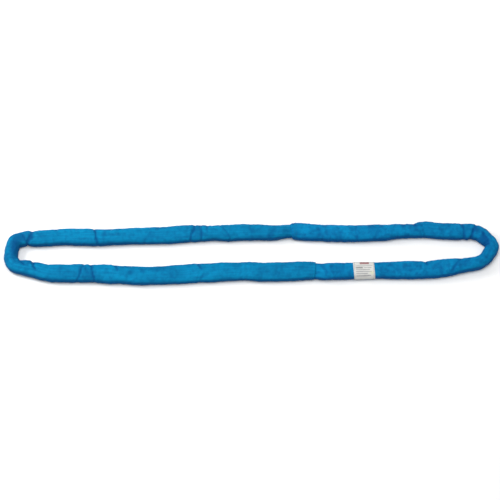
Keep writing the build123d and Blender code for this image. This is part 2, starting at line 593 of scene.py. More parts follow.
@dataclass(frozen=True)
class YarnFinish:
    """Bundles of untwisted filament yarn.

    Args:
        name: Name of the material.
        light: Colour of the yarn's crowns.
        deep: Colour in the grooves between its filament bundles, a painted shade, and of its darker
            strays.
        pitch: Distance between the filament bundles, round the strand.
        lean: How far a bundle runs round the strand over a metre of it.
    """

    name: str
    light: tuple[float, float, float]
    deep: tuple[float, float, float]
    pitch: float = 0.0012
    lean: float = 0.25

    def make(self) -> Material:
        """Build the material.

        Returns:
            The yarn's material.
        """
        board = Board(self.name)
        along, around = board.cloth_axes()
        run = board.maths("MULTIPLY_ADD", along, self.lean, around)
        wave = board.maths("SINE", board.times(run, 2 * math.pi / self.pitch))
        height = board.maths("MULTIPLY_ADD", wave, 0.5, 0.5)
        stray = board.noise(board.place(), 220.0, 3.0)
        mixed = board.maths("MULTIPLY_ADD", stray, 0.6, board.times(height, 0.5))
        # painted shade: darker in the grooves between the bundles, mixed with random strays
        colour = board.ramp(mixed, [(0.15, self.deep), (0.75, self.light)])
        return board.finish(
            Base_Color=colour,
            Roughness=board.maths("MULTIPLY_ADD", stray, 0.2, 0.45),
            Normal=board.bump(mixed, 0.0004, 0.7),
            Specular_IOR_Level=0.4,
            Sheen_Weight=0.3,
        )


@dataclass(frozen=True)
class ThreadFinish:
    """Twisted sewing thread on small stitches.

    Args:
        name: Name of the material.
        colour: The thread's colour.
        twist: Twist marks per metre.
    """

    name: str
    colour: tuple[float, float, float]
    twist: float = 900.0

    def make(self) -> Material:
        """Build the material.

        Returns:
            The thread's material.
        """
        board = Board(self.name)
        place = board.place()
        wave = board.add("ShaderNodeTexWave", bands_direction="DIAGONAL")
        wave.inputs["Scale"].default_value = self.twist
        wave.inputs["Distortion"].default_value = 1.5
        board.wire(place, wave.inputs["Vector"])
        # painted shade: the thread darkens in the grooves of its twist, where its bump is low
        dark = tuple(0.55 * channel for channel in self.colour)
        colour = board.mix(wave.outputs["Fac"], dark, self.colour)
        return board.finish(
            Base_Color=colour,
            Roughness=board.maths("MULTIPLY_ADD", board.noise(place, 400.0), 0.2, 0.45),
            Normal=board.bump(wave.outputs["Fac"], 0.0002, 0.6),
            Specular_IOR_Level=0.12,
        )


@dataclass(frozen=True)
class Bar:
    """One plain printed bar on the label, in metres on the label's own cloth axes."""

    along: tuple[float, float]
    around: tuple[float, float]
    colour: tuple[float, float, float]


@dataclass(frozen=True)
class LabelFinish:
    """Coated label cloth with a few plain printed bars.

    Args:
        name: Name of the material.
        cloth: Colour of the bare label.
        bars: The printed bars.
        stain_place: Middle of the worn, yellowed spot, on the cloth axes.
        stain_radius: The spot's radius.
        stain: The spot's colour.
        most_ink: Share of ink where a bar is least worn.
        thread_pitch: Distance between the label cloth's threads.
    """

    name: str
    cloth: tuple[float, float, float]
    bars: tuple[Bar, ...]
    stain_place: tuple[float, float]
    stain_radius: float = 0.011
    stain: tuple[float, float, float] = (0.52, 0.55, 0.30)
    most_ink: float = 0.95
    thread_pitch: float = 0.0008

    def bar_share(self, board: Board, along: NodeSocket, around: NodeSocket, bar: Bar) -> NodeSocket:
        """How far a point is inside a bar.

        Args:
            board: The material to add it to.
            along: Distance along the label.
            around: Distance round it.
            bar: The bar.

        Returns:
            1 inside the bar and 0 outside.
        """
        share: object = 1.0
        for place, (low, high) in ((along, bar.along), (around, bar.around)):
            above = board.maths("GREATER_THAN", place, low)
            below = board.maths("LESS_THAN", place, high)
            share = board.times(share, board.times(above, below))
        return share

    def make(self) -> Material:
        """Build the material.

        Returns:
            The label's material.
        """
        board = Board(self.name)
        place = board.place()
        along, around = board.cloth_axes()
        grime = board.noise(place, 40.0, 4.0)
        colour = board.ramp(grime, [(0.3, tuple(0.86 * c for c in self.cloth)), (0.7, self.cloth)])
        ink_wear = board.maths("MULTIPLY_ADD", board.noise(place, 260.0, 3.0), 0.9, 0.35)
        ink_wear = board.maths("MINIMUM", ink_wear, self.most_ink)
        for bar in self.bars:
            share = board.times(self.bar_share(board, along, around, bar), ink_wear)
            colour = board.mix(share, colour, bar.colour)
        reaches = [board.maths("SUBTRACT", a, b) for a, b in zip((along, around), self.stain_place)]
        squares = board.maths("ADD", *(board.times(reach, reach) for reach in reaches))
        spot = board.maths("DIVIDE", board.maths("SQRT", squares), self.stain_radius)
        inside = board.maths("SUBTRACT", 1.0, board.maths("MINIMUM", spot, 1.0))
        colour = board.mix(board.times(inside, 0.7), colour, self.stain)
        threads = 2 * math.pi / self.thread_pitch
        warp = board.maths("SINE", board.times(along, threads))
        weft = board.maths("SINE", board.times(around, threads))
        cloth = board.maths("MULTIPLY_ADD", board.times(warp, weft), 0.5, 0.5)
        soft = board.bump(grime, 0.0018, 0.6)
        return board.finish(
            Base_Color=colour,
            Roughness=board.maths("MULTIPLY_ADD", grime, 0.2, 0.35),
            Normal=board.bump(cloth, 0.00015, 0.5, soft),
            Specular_IOR_Level=0.45,
        )


@dataclass(frozen=True)
class FloorFinish:
    """The pale studio floor."""

    name: str = "studio_floor"
    colour: tuple[float, float, float] = (0.86, 0.86, 0.855)

    def make(self) -> Material:
        """Build the floor's material.

        Returns:
            The floor's material.
        """
        board = Board(self.name)
        patches = board.noise(board.place(), 2.0)
        dim = tuple(0.985 * channel for channel in self.colour)
        return board.finish(Base_Color=board.mix(patches, dim, self.colour), Roughness=0.9)


# ---- centre lines


@dataclass(frozen=True)
class Station:
    """One place on a sleeve's centre line, and the sleeve's width there."""

    x: float
    y: float
    width: float


@dataclass(frozen=True)
class Crease:
    """A cross crease pressed into a leg of the loop.

    Args:
        x: Where it crosses the leg's centre line.
        side: 1 on the back leg, -1 on the front leg.
        depth: How deep it is pressed in; negative for a raised fold.
        width: Its half width.
        slant: How far it moves along +X for each metre towards -Y.
        lip: Height of the fold beside it, on its -X side, or its +X side if negative.
        reach: From where to where it runs across the leg, as distances towards +Y.
    """

    x: float
    side: int
    depth: float
    width: float = 0.006
    slant: float = 0.0
    lip: float = 0.0
    reach: tuple[float, float] = (-0.05, 0.05)

    def press(self, points: np.ndarray, line_y: np.ndarray) -> np.ndarray:
        """How far each point moves inwards.

        Args:
            points: The points, one row each.
            line_y: The centre line's y beside each point.

        Returns:
            One distance per point.
        """
        on_leg = self.side * (points[:, 1] - LEG_DIVIDE_Y) > 0
        across = points[:, 1] - line_y
        wander = 0.0017 * np.sin(across * 120.0 + self.x * 70.0) + 0.0005 * np.sin(across * 330.0)
        offset = points[:, 0] - self.x + self.slant * across + wander
        low, high = self.reach
        fade = 0.008
        within = np.clip((across - low) / fade, 0, 1) * np.clip((high - across) / fade, 0, 1)
        width = self.width * (0.85 + 0.7 * np.cos(across * 75.0 + self.x * 30.0) ** 2)
        pressed = self.depth * within * np.exp(-((offset / width) ** 2))
        beside = offset + math.copysign(1.7, self.lip) * self.width
        raised = abs(self.lip) * within * np.exp(-((beside / (1.2 * self.width)) ** 2))
        full_height = 0.012
        upper = np.clip(points[:, 2] / full_height, 0.0, 1.0)
        return (pressed - raised) * on_leg * upper


CREASES = (
    # back leg, left to right
    Crease(-0.848, 1, 0.0030, 0.006, 0.7, 0.0014, (-0.030, 0.020)),
    Crease(-0.824, 1, 0.0040, 0.008, -0.30, 0.0018),
    Crease(-0.726, 1, 0.0016, 0.007, 0.1, 0.0, (0.012, 0.05)),
    Crease(-0.581, 1, 0.0036, 0.0042, 0.26, 0.0012),
    Crease(-0.546, 1, 0.0016, 0.005, -0.2, 0.0, (-0.008, 0.022)),
    Crease(-0.357, 1, 0.0015, 0.006, -0.3, 0.0, (0.010, 0.05)),
    Crease(-0.380, 1, 0.0011, 0.007, -0.5, 0.0, (-0.05, 0.012)),
    Crease(-0.222, 1, 0.0030, 0.0055, -0.25, 0.0010),
    Crease(-0.190, 1, 0.0024, 0.0045, 0.05),
    Crease(-0.166, 1, 0.0016, 0.004, 0.05, 0.0, (-0.010, 0.05)),
    Crease(-0.097, 1, 0.0020, 0.0035, 0.62, -0.0016),
    Crease(0.000, 1, 0.0012, 0.004, 0.1, 0.0, (-0.02, 0.05)),
    Crease(0.078, 1, 0.0014, 0.010, -0.4, 0.0, (-0.05, 0.012)),
    Crease(0.250, 1, 0.0009, 0.007, 0.4, 0.0, (-0.05, 0.016)),
    Crease(0.328, 1, 0.0010, 0.006, 0.1, 0.0, (-0.05, 0.004)),
    Crease(0.388, 1, 0.0014, 0.005, 0.05),
    Crease(0.470, 1, 0.0012, 0.006, -0.5),
    Crease(0.565, 1, 0.0020, 0.009, 0.2, 0.0, (0.0, 0.05)),
    Crease(0.613, 1, 0.0034, 0.008, 0.3, -0.0016, (0.004, 0.05)),
    Crease(0.787, 1, 0.0026, 0.0045, 0.1),
    Crease(0.825, 1, 0.0038, 0.006, -0.45, 0.0014),
    Crease(0.862, 1, 0.0050, 0.010, 0.9, 0.0016, (-0.035, 0.008)),
    # front leg, left to right
    Crease(-0.866, -1, 0.0024, 0.005, 1.3, 0.0012, (0.0, 0.04)),
    Crease(-0.834, -1, 0.0030, 0.007, 1.1, 0.0014, (-0.004, 0.04)),
    Crease(-0.8195, -1, -0.0042, 0.013, 0.20, 0.0, (0.006, 0.05)),
    Crease(-0.798, -1, 0.0056, 0.005, 0.30, 0.0030, (-0.012, 0.05)),
    Crease(-0.625, -1, 0.0026, 0.0050, -0.30, -0.0012),
    Crease(-0.602, -1, 0.0018, 0.0045, 0.55, 0.0, (-0.02, 0.03)),
    Crease(-0.583, -1, 0.0034, 0.0045, 0.25, 0.0012),
    Crease(-0.490, -1, 0.0024, 0.006, 0.35, 0.0014, (0.0, 0.05)),
    Crease(-0.440, -1, 0.0012, 0.008, -0.2, 0.0, (-0.01, 0.025)),
    Crease(-0.392, -1, 0.0013, 0.008, 0.6, 0.0, (0.0, 0.03)),
    Crease(-0.300, -1, 0.0008, 0.006, 0.9, 0.0, (-0.03, 0.01)),
    Crease(-0.177, -1, 0.0026, 0.006, 0.65, 0.0014, (0.002, 0.05)),
    Crease(-0.170, -1, 0.0012, 0.005, -0.5, 0.0, (-0.05, -0.006)),
    Crease(0.045, -1, 0.0008, 0.006, -0.4, 0.0, (-0.02, 0.02)),
    Crease(0.268, -1, 0.0016, 0.007, 0.4, 0.0, (-0.02, 0.05)),
    Crease(0.330, -1, 0.0010, 0.006, -0.5, 0.0, (-0.02, 0.02)),
    Crease(0.520, -1, 0.0010, 0.006, 0.8, 0.0, (-0.02, 0.05)),
    Crease(0.649, -1, 0.0028, 0.006, 0.5, 0.0012, (0.006, 0.05)),
    Crease(0.690, -1, 0.0018, 0.0045, 0.2, 0.0, (-0.05, 0.010)),
    Crease(0.714, -1, 0.0012, 0.004, 0.5, 0.0, (-0.05, 0.010)),
    Crease(0.752, -1, 0.0022, 0.005, -0.7, 0.0, (-0.03, 0.03)),
)


@dataclass
class Line:
    """A centre line sampled at chosen distances along it.

    Args:
        run: The distances.
        x: Places along the loop.
        y: Places across it.
        width: The sleeve's width.
        left_x: X of the sideways direction, to the left of the way the line runs.
        left_y: Y of it.
        thick: The sleeve's thickness.
        under: Height of its underside.
    """

    run: np.ndarray
    x: np.ndarray
    y: np.ndarray
    width: np.ndarray
    left_x: np.ndarray
    left_y: np.ndarray
    thick: np.ndarray
    under: np.ndarray

    @property
    def length(self) -> float:
        """The line's length."""
        return float(self.run[-1])

    def at(self, runs: np.ndarray) -> "Line":
        """The same line sampled at other distances.

        Args:
            runs: Distances along the line.

        Returns:
            The new sampling.
        """
        columns = (self.x, self.y, self.width, self.left_x, self.left_y, self.thick, self.under)
        return Line(np.asarray(runs), *(np.interp(runs, self.run, column) for column in columns))

    def beside(self, side: np.ndarray) -> tuple[np.ndarray, np.ndarray]:
        """Places beside the line.

        Args:
            side: Distances to its left, in one row per sampled place.

        Returns:
            Their x and their y.
        """
        x = self.x[:, None] + side * self.left_x[:, None]
        y = self.y[:, None] + side * self.left_y[:, None]
        return x, y

    def run_at_x(self, x: float, side: int) -> float:
        """The distance along the line where it passes x on one leg.

        Args:
            x: The place along the loop.
            side: 1 for the back leg, -1 for the front leg.

        Returns:
            The distance.
        """
        on_leg = side * (self.y - LEG_DIVIDE_Y) > 0
        gap = np.where(on_leg, np.abs(self.x - x), np.inf)
        return float(self.run[int(np.argmin(gap))])


def smooth_line(stations: Sequence[Station], lie: Lie, steps: int = 24) -> Line:
    """Run a smooth line through stations.

    Args:
        stations: The stations, in order.
        lie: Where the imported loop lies.
        steps: Samples between two stations.

    Returns:
        The sampled line.
    """
    knots = np.array([(s.x * lie.scale, s.y * lie.scale, s.width) for s in stations])
    knots = np.vstack([2 * knots[0] - knots[1], knots, 2 * knots[-1] - knots[-2]])
    chord = np.sqrt(np.linalg.norm(np.diff(knots[:, :2], axis=0), axis=1))
    time = np.concatenate([[0.0], np.cumsum(chord)])
    slope = np.diff(knots, axis=0) / np.diff(time)[:, None]
    span = np.diff(time)
    pull = (slope[:-1] * span[1:, None] + slope[1:] * span[:-1, None]) / (span[1:] + span[:-1])[:, None]
    samples = []
    for i in range(1, len(knots) - 2):
        share = np.linspace(0, 1, steps, endpoint=False)[:, None]
        width = span[i]
        samples.append(
            (2 * share**3 - 3 * share**2 + 1) * knots[i]
            + (share**3 - 2 * share**2 + share) * width * pull[i - 1]
            + (3 * share**2 - 2 * share**3) * knots[i + 1]
            + (share**3 - share**2) * width * pull[i]
        )
    path = np.vstack(samples + [knots[-2][None, :]])
    run = walk(path[:, :2])
    along = unit(np.gradient(path[:, :2], run, axis=0))
    x, y, width = path.T
    return Line(run, x, y, width, -along[:, 1], along[:, 0], thickness_of(width, lie), np.zeros(len(run)))


def unit_section(count: int) -> np.ndarray:
    """Evenly spaced points round a flattened section that is flat underneath.

    Args:
        count: Number of points, from the middle of the underside towards the right.

    Returns:
        Sideways and upward places, each from -1 to 1.
    """
    turn = np.linspace(-math.pi / 2, 1.5 * math.pi, 1441)
    power = np.where(np.sin(turn) > 0, 2 / 2.5, 2 / 3.6)
    side = np.sign(np.cos(turn)) * np.abs(np.cos(turn)) ** (2 / 2.5)
    rise = np.sign(np.sin(turn)) * np.abs(np.sin(turn)) ** power
    run = np.concatenate([[0.0], np.cumsum(np.hypot(np.diff(2 * side), np.diff(rise)))])
    wanted = np.linspace(0, run[-1], count, endpoint=False)
    return np.column_stack([np.interp(wanted, run, side), np.interp(wanted, run, rise)])


def thickness_of(width: np.ndarray, lie: Lie) -> np.ndarray:
    """Thickness of the sleeve where it is this wide: the narrower, the thicker.

    Args:
        width: The sleeve's width.
        lie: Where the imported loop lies.

    Returns:
        Its thickness.
    """
    nominal_width, power = 0.067, 0.55
    thinnest, thickest = 0.031, 0.0395
    return np.clip(lie.thickness * (nominal_width / width) ** power, thinnest, thickest)


NOISE_REACH = 0.03  # how far from the centre line the noise is read, whatever the inset
BUMPS = ((0.0019, 19.0), (0.0009, 55.0))  # height and cells per metre of the slow and the quick bumps


def skin(line: Line, section: np.ndarray, inset: float = 0.0) -> np.ndarray:
    """Points on the sling's skin, or on a surface inside it.

    Args:
        line: The centre line, sampled once per ring.
        section: The ring's places, each from -1 to 1.
        inset: Distance inside the skin.

    Returns:
        An array of rings, places and coordinates.
    """
    rings, places = len(line.run), len(section)
    centre_height = line.under + line.thick / 2
    side = (line.width / 2 - inset)[:, None] * section[None, :, 0]
    rise = centre_height[:, None] + (line.thick / 2 - inset)[:, None] * section[None, :, 1]
    points = np.stack([*line.beside(side), rise], axis=2).reshape(-1, 3)
    middle = np.stack([line.x, line.y, centre_height], axis=1).repeat(places, axis=0)
    outward = unit(points - middle)
    press = np.zeros(len(points))
    line_y = line.y.repeat(places)
    for crease in CREASES:
        press += crease.press(points, line_y)
    for i, point in enumerate(middle + outward * NOISE_REACH):
        where = Vector(point)
        press[i] += sum(height * noise.noise(where * cells) for height, cells in BUMPS)
    points -= outward * press[:, None]
    return points.reshape(rings, places, 3)


@dataclass(frozen=True)
class Patch:
    """A soft dark patch painted on the sling: painted shade at and near the eyes, where the cloth turns
    away from the light, and plain dark mottles along the legs.
        y: Its middle across the loop.
        length: Its half length along X.
        breadth: Its half length along Y.
        share: How dark its middle is.
    """

    x: float
    y: float
    length: float
    breadth: float
    share: float

    def over(self, x: np.ndarray, y: np.ndarray) -> np.ndarray:
        """How dark the patch makes each place.

        Args:
            x: Places along the loop.
            y: Places across it.

        Returns:
            One share per place.
        """
        ragged = 0.22 * np.sin(x * 310.0 + 2.0 * np.sin(y * 170.0)) + 0.18 * np.sin(y * 420.0 + x * 90.0)
        reach = ((x - self.x) / self.length) ** 2 + ((y - self.y) / self.breadth) ** 2
        return self.share * np.exp(-((reach * (1 + ragged)) ** 2))


# dark patches painted on: painted shade at and near both eyes, where the cloth turns from the light, and
# dark mottles along the legs
PATCHES = (
    Patch(-0.876, 0.012, 0.017, 0.050, 0.95),
    Patch(-0.864, 0.054, 0.028, 0.024, 0.75),
    Patch(-0.838, 0.070, 0.022, 0.020, 0.45),
    Patch(-0.872, 0.036, 0.022, 0.005, 0.85),
    Patch(-0.866, -0.010, 0.012, 0.004, 0.80),
    Patch(-0.874, -0.034, 0.020, 0.005, 0.75),
    Patch(-0.896, 0.014, 0.012, 0.004, 0.50),
    Patch(-0.900, -0.022, 0.014, 0.004, 0.50),
    Patch(-0.902, -0.040, 0.010, 0.020, 0.35),
    Patch(-0.846, -0.050, 0.020, 0.010, 0.60),
    Patch(-0.812, -0.055, 0.018, 0.010, 0.55),
    Patch(-0.600, -0.086, 0.022, 0.030, 0.30),
    Patch(-0.340, -0.078, 0.030, 0.012, 0.30),
    Patch(-0.440, -0.070, 0.020, 0.014, 0.30),
    Patch(-0.205, 0.085, 0.016, 0.030, 0.35),
    Patch(-0.380, 0.060, 0.030, 0.010, 0.30),
    Patch(0.110, 0.085, 0.040, 0.016, 0.30),
    Patch(0.300, 0.075, 0.035, 0.016, 0.30),
    Patch(0.445, 0.090, 0.012, 0.030, 0.35),
    Patch(0.600, 0.096, 0.020, 0.024, 0.30),
    Patch(0.855, 0.045, 0.016, 0.020, 0.90),
    Patch(0.864, 0.034, 0.010, 0.008, 1.00),
    Patch(0.884, 0.052, 0.006, 0.026, 0.45),
    Patch(0.878, 0.012, 0.012, 0.018, 0.40),
    Patch(0.842, 0.092, 0.014, 0.018, 0.35),
    Patch(0.800, 0.092, 0.016, 0.026, 0.25),
    Patch(0.770, -0.052, 0.040, 0.014, 0.35),
    Patch(0.690, -0.060, 0.020, 0.020, 0.30),
    Patch(0.560, -0.075, 0.030, 0.018, 0.30),
    Patch(0.310, -0.075, 0.030, 0.020, 0.25),
)


def painted_shade_and_mottle_share(line: Line, section: np.ndarray) -> np.ndarray:
    """How dark each point is painted: painted shade in the creases, along the flanks and at the eyes, and
    dark mottles along the legs.

    Args:
        line: The centre line, sampled once per ring.
        section: The ring's places, each from -1 to 1.

    Returns:
        One share per point, from 0 to 1.
    """
    side = line.width[:, None] / 2 * section[None, :, 0]
    x, y = (place.ravel() for place in line.beside(side))
    top_height = 0.03
    points = np.column_stack([x, y, np.full(len(x), top_height)])
    folds = np.zeros(len(x))
    # painted shade in the creases, by their depth
    for crease in CREASES:
        folds = np.maximum(folds, crease.press(points, line.y.repeat(len(section))) / FULL_SHADE_DEPTH)
    # dark patches: painted shade at the eyes, dark mottles along the legs
    for patch in PATCHES:
        folds = np.maximum(folds, patch.over(x, y))
    # painted shade along both flanks, where the sides turn away from the light
    flank_shade = np.clip((np.abs(section[:, 0]) - 0.80) / 0.17, 0.0, 1.0) ** 1.6 * 0.95
    return np.clip(np.maximum(folds, np.tile(flank_shade, len(line.run))), 0.0, 1.0)


def tube_mesh(
    name: str, rings: np.ndarray, runs: np.ndarray, girth: float, capped: bool = False
) -> Object:
    """Skin rings of points with quads, with the cloth's own UV map in metres.

    Args:
        name: Name of the piece.
        rings: An array of rings, places and coordinates.
        runs: Distance along the piece of each ring.
        girth: Distance once round the piece.
        capped: Whether to close both ends.

    Returns:
        The tube.
    """
    count, places = rings.shape[:2]
    faces, uvs = [], []
    for i in range(count - 1):
        for j in range(places):
            k = (j + 1) % places
            faces.append((i * places + j, i * places + k, (i + 1) * places + k, (i + 1) * places + j))
            low, high = girth * j / places, girth * (j + 1) / places
            uvs += [(runs[i], low), (runs[i], high), (runs[i + 1], high), (runs[i + 1], low)]
    if capped:
        last = (count - 1) * places
        for ring, run in ((range(places)[::-1], runs[0]), (range(last, last + places), runs[-1])):
            faces.append(ring)
            uvs += [(run, girth * j / places) for j in range(places)]
    tube = mesh_object(name, rings.reshape(-1, 3), faces)
    lay_cloth_map(tube, uvs)
    return tube


# ---- outer sleeve


CLOTH_SETTINGS = {
    "quality": 6,
    "mass": 0.25,
    "tension_stiffness": 18.0,
    "compression_stiffness": 18.0,
    "shear_stiffness": 6.0,
    "bending_stiffness": 0.35,
    "tension_damping": 12.0,
    "compression_damping": 12.0,
    "shrink_min": -0.045,
}


@dataclass
class Sleeve:
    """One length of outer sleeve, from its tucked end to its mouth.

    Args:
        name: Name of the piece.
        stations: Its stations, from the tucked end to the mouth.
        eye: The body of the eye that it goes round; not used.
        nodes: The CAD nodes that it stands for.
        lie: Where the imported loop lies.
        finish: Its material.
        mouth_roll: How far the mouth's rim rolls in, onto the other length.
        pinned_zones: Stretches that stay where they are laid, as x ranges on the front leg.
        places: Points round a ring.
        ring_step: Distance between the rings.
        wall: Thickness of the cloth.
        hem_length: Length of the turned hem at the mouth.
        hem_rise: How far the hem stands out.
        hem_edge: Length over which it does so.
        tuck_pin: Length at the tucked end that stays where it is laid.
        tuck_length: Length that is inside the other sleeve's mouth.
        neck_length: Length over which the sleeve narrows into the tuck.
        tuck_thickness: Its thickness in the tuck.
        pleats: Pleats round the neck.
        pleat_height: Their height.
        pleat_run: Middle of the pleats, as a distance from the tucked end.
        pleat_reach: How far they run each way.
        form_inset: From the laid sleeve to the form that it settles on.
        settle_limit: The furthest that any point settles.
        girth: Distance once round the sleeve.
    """

    name: str
    stations: Sequence[Station]
    eye: Body
    nodes: Sequence[str]
    lie: Lie
    finish: WovenTube
    mouth_roll: float
    pinned_zones: Sequence[tuple[float, float]] = ()
    places: int = 34
    ring_step: float = 0.0056
    wall: float = 0.0011
    hem_length: float = 0.025
    hem_rise: float = 0.0009
    hem_edge: float = 0.0012
    tuck_pin: float = 0.075
    tuck_length: float = 0.062
    neck_length: float = 0.055
    tuck_thickness: float = 0.0272
    pleats: int = 9
    pleat_height: float = 0.0011
    pleat_run: float = 0.085
    pleat_reach: float = 0.035
    form_inset: float = 0.0024
    settle_limit: float = 0.0045
    girth: float = 0.180
    line: Line = field(init=False)
    obj: Object = field(init=False)

    def __post_init__(self) -> None:
        """Run the centre line through the stations, and flatten the end that is tucked in."""
        line = smooth_line(self.stations, self.lie)
        share = np.clip((self.tuck_length + self.neck_length - line.run) / self.neck_length, 0.0, 1.0)
        tucked = share**2 * (3 - 2 * share)
        spare = (self.lie.thickness - self.tuck_thickness) / 2
        line.thick = line.thick + (self.tuck_thickness - line.thick) * tucked
        line.under = spare * tucked
        self.line = line

    def ring_runs(self) -> np.ndarray:
        """Distances of the rings, close together at the mouth and its hem.

        Returns:
            The distances along the centre line.
        """
        end = self.line.length
        plain = np.arange(0.0, end - self.hem_length - self.ring_step, self.ring_step)
        hem = np.linspace(end - self.hem_length - 0.002, end - self.mouth_roll, 10)
        turn = np.linspace(0.0, math.pi / 2, 7)[1:]
        rim = end - self.mouth_roll + self.mouth_roll * np.sin(turn)
        return np.concatenate([plain, hem, rim])

    def shape(self, runs: np.ndarray, section: np.ndarray, inset: float = 0.0) -> np.ndarray:
        """Rings of the sleeve with its hem, its rolled rim and its gathered neck.

        Args:
            runs: Distances of the rings.
            section: The places round a ring.
            inset: Distance inside the skin.

        Returns:
            An array of rings, places and coordinates.
        """
        line = self.line.at(runs)
        from_mouth = self.line.length - runs
        roll = np.clip(1 - from_mouth / self.mouth_roll, 0.0, 1.0)
        rim = self.mouth_roll * (1 - np.sqrt(1 - roll**2))
        hem = self.hem_rise / (1 + np.exp((from_mouth - self.hem_length) / self.hem_edge))
        line.width = line.width - 2 * rim + 2 * hem
        rings = skin(line, section, inset)
        outward = unit(rings - rings.mean(axis=1, keepdims=True))
        lift = (rim * 0.8)[:, None] * np.sign(outward[:, :, 2]) * np.abs(outward[:, :, 2]) ** 0.5
        rings[:, :, 2] -= lift
        return rings

    def gather(self, rings: np.ndarray, runs: np.ndarray) -> np.ndarray:
        """Press shallow pleats into the neck, where the sleeve narrows into its tuck.

        Args:
            rings: The sleeve's rings.
            runs: Their distances.

        Returns:
            The rings with pleats.
        """
        neck = np.exp(-(((runs - self.pleat_run) / self.pleat_reach) ** 2))
        turn = np.linspace(0, 2 * math.pi, rings.shape[1], endpoint=False)
        outward = unit(rings - rings.mean(axis=1, keepdims=True))
        drift = 1.3 * np.sin(runs * 40.0)
        pleat = self.pleat_height * neck[:, None] * np.sin(self.pleats * turn[None, :] + drift[:, None])
        return rings + outward * pleat[:, :, None]

    def pinned(self, runs: np.ndarray) -> np.ndarray:
        """Which rings stay where they are laid.

        Args:
            runs: Distances of the rings.

        Returns:
            A weight from 0 to 1 for each ring.
        """
        tuck_fade, hem_fade = 0.02, 0.015
        weight = np.clip((self.tuck_pin + tuck_fade - runs) / tuck_fade, 0, 1)
        mouth = self.line.length - runs
        weight = np.maximum(weight, np.clip((self.hem_length + hem_fade - mouth) / hem_fade, 0, 1))
        line = self.line.at(runs)
        for low, high in self.pinned_zones:
            inside = (line.x > low) & (line.x < high) & (line.y < LEG_DIVIDE_Y)
            weight = np.maximum(weight, inside.astype(float))
        return weight

    def tube_inside(self, name: str, line: Line, places: int, inset: float, wall: float) -> Object:
        """Model a thinner tube inside the sleeve.

        Args:
            name: Name of the tube.
            line: The stretch of the sleeve's centre line that it follows, sampled once per ring.
            places: Points round a ring.
            inset: From the sleeve's skin to the tube's.
            wall: Thickness of the tube.

        Returns:
            The tube, without a material.
        """
        tube = tube_mesh(name, skin(line, unit_section(places), inset), line.run, self.girth)
        add_wall(tube, wall)
        apply_modifiers(tube)
        return tube

    def settle(self, form: Object, weights: np.ndarray) -> None:
        """Let the sleeve settle on the form inside it and on the floor.

        The cloth is cut a little larger than it is laid, so that it wrinkles.

        Args:
            form: What the sleeve lies on.
            weights: Pin weight of each vertex.
        """
        scene = bpy.context.scene
        laid = points_of(self.obj.data)
        group = self.obj.vertex_groups.new(name="pinned")
        for index, weight in enumerate(weights):
            if weight > 0:
                group.add([index], float(weight), "REPLACE")
        deselect_all()
        bpy.ops.mesh.primitive_plane_add(size=4.0, location=(0.0, 0.0, -0.0012))
        ground = bpy.context.object
        for solid in (form, ground):
            solid.modifiers.new("Collision", "COLLISION")
            solid.collision.thickness_outer = 0.0010
            solid.collision.cloth_friction = 12.0
        cloth = self.obj.modifiers.new("Cloth", "CLOTH")
        for setting, value in CLOTH_SETTINGS.items():
            setattr(cloth.settings, setting, value)
        cloth.settings.vertex_group_mass = group.name
        cloth.settings.effector_weights.gravity = 0.7
        cloth.collision_settings.distance_min = 0.0010
        cloth.collision_settings.collision_quality = 3
        cloth.point_cache.frame_start = 1
        cloth.point_cache.frame_end = SETTLE_FRAMES
        scene.frame_start, scene.frame_end = 1, SETTLE_FRAMES
        for step in range(1, SETTLE_FRAMES + 1):
            scene.frame_set(step)
        apply_modifiers(self.obj)
        scene.frame_set(1)
        settled = points_of(self.obj.data)
        move = settled - laid
        reach = np.linalg.norm(move, axis=1)
        limit = self.settle_limit
        allowed = limit * np.tanh(reach / limit) / np.maximum(reach, 1e-9)
        settled = laid + move * allowed[:, None]
        settled[:, 2] = np.maximum(settled[:, 2], FLOOR_GAP)
        put_points(self.obj.data, settled)
        self.obj.vertex_groups.clear()
        for solid in (form, ground):
            bpy.data.objects.remove(solid)

    def build(self) -> Object:
        """Build, settle and dress the sleeve.

        Returns:
            The finished piece.
        """
        runs = self.ring_runs()
        section = unit_section(self.places)
        rings = self.gather(self.shape(runs, section), runs)
        rings[:, :, 2] = np.maximum(rings[:, :, 2], FLOOR_GAP)
        self.obj = tube_mesh(self.name, rings, runs, self.girth)
        # painted shade in the creases, along the flanks and at the eyes, with dark mottles, stored on the
        # points
        painted_shade_and_mottle = self.obj.data.attributes.new("painted_shade_and_mottle", "FLOAT", "POINT")
        painted_shade_and_mottle.data.foreach_set("value", painted_shade_and_mottle_share(self.line.at(runs), section))
        form_rings = self.gather(self.shape(runs, section, self.form_inset), runs)
        form = tube_mesh(f"{self.name}_form", form_rings, runs, self.girth, capped=True)
        self.settle(form, self.pinned(runs).repeat(self.places))
        smooth = self.obj.modifiers.new("Subdivision", "SUBSURF")
        smooth.levels = smooth.render_levels = 1
        add_wall(self.obj, self.wall)
        apply_modifiers(self.obj)
        dress(self.obj, self.finish.make())
        cross_fold(self.obj)
        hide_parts(*self.nodes)
        return self.obj


def cross_fold(obj: Object) -> None:
    """Put a soft piece's placing into its mesh.

    Args:
        obj: The piece.
    """
    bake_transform(obj)


